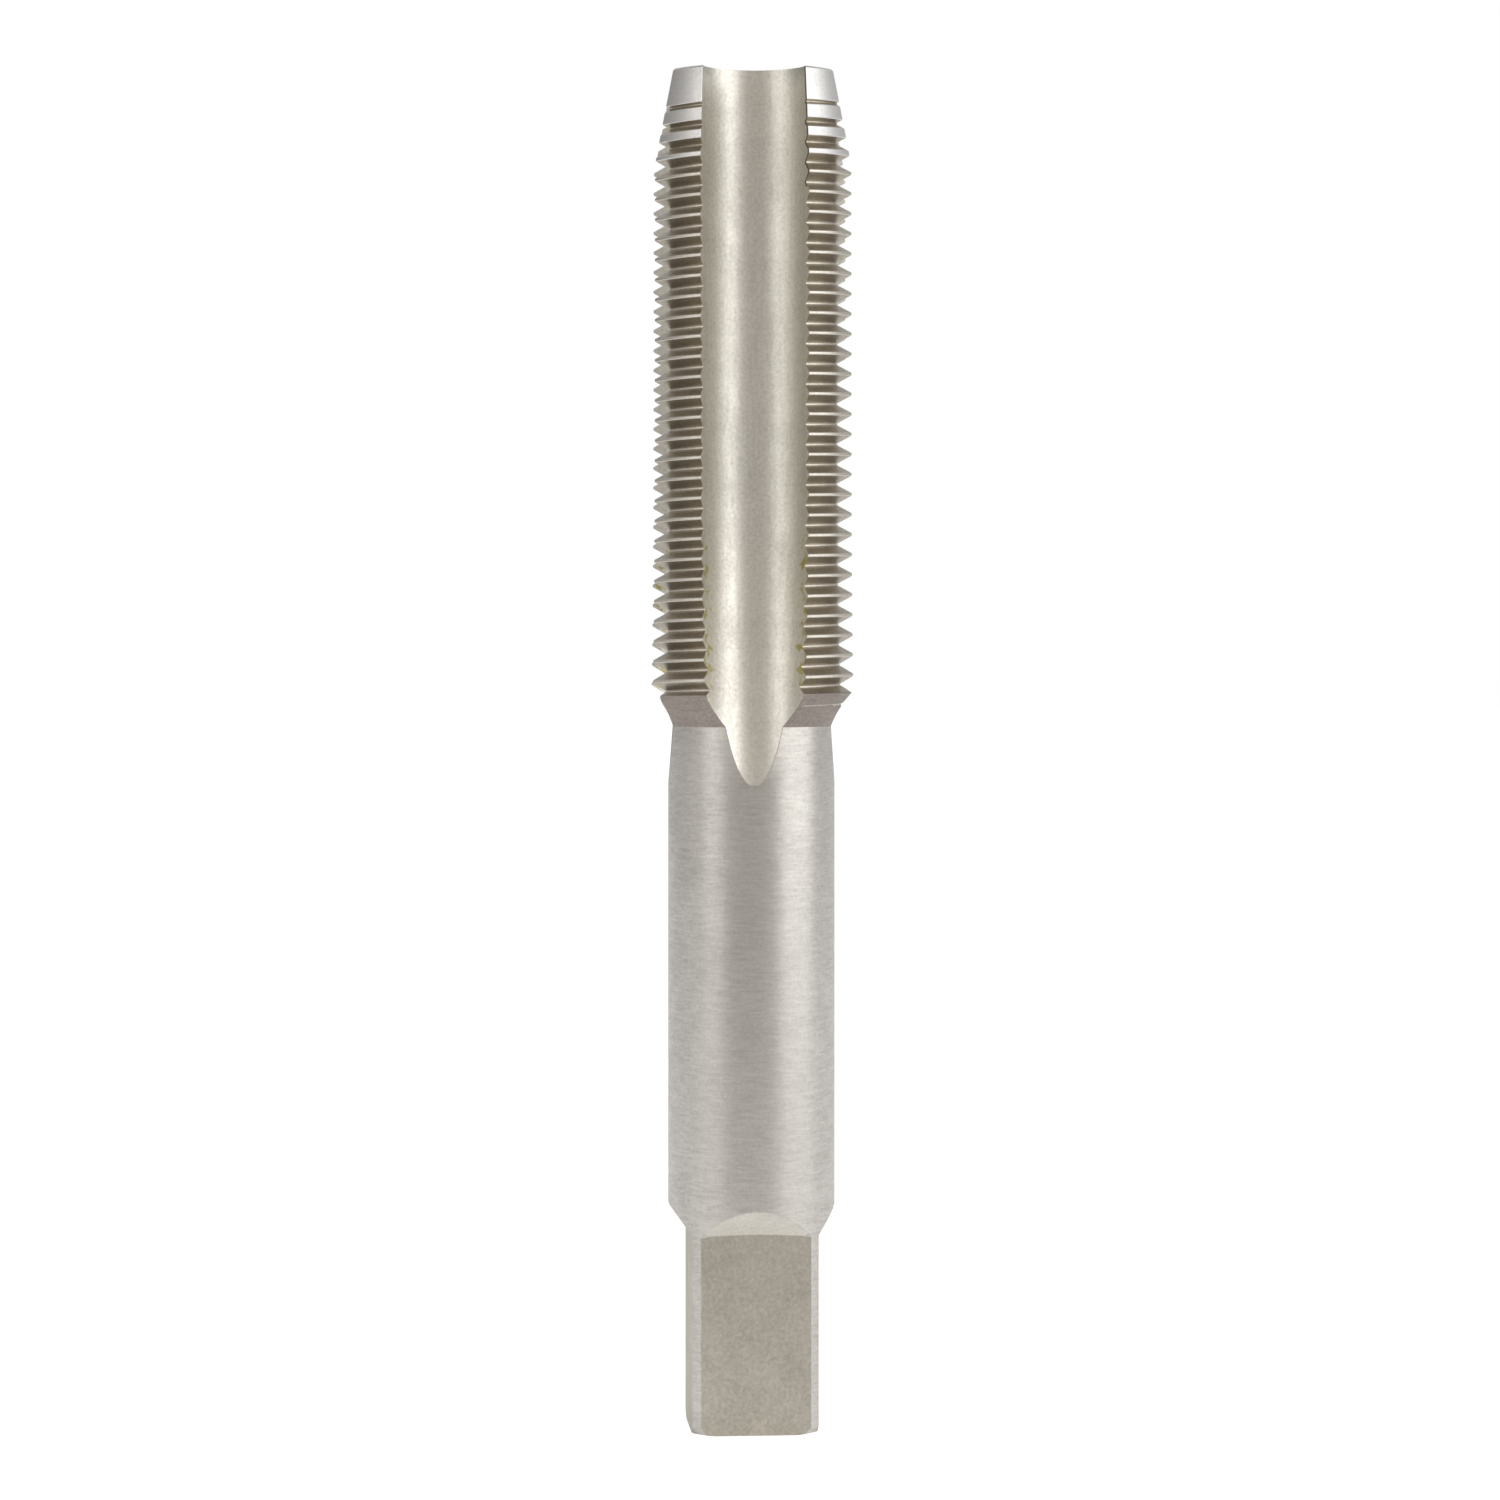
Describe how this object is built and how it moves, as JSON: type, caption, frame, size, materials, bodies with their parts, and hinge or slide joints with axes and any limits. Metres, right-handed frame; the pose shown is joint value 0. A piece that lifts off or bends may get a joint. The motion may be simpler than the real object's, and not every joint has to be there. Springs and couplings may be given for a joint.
{
  "type": "thread tap",
  "caption": "Straight-flute hand tap with a right-hand M14 x 1.25 cutting thread, tapered lead, round shank and square drive end.",
  "frame": {"origin": "centre of the flat square end, on the plane it stands on", "axes": "+Z along the tap's axis from the square drive end to the cutting tip; the four flats of the square face -X, +X, -Y and +Y"},
  "size_m": [0.013, 0.0129, 0.0851],
  "materials": {
    "tap": "satin ground high-speed steel"
  },
  "bodies": {
    "root": {"tap": "tap"}
  },
  "joints": []
}
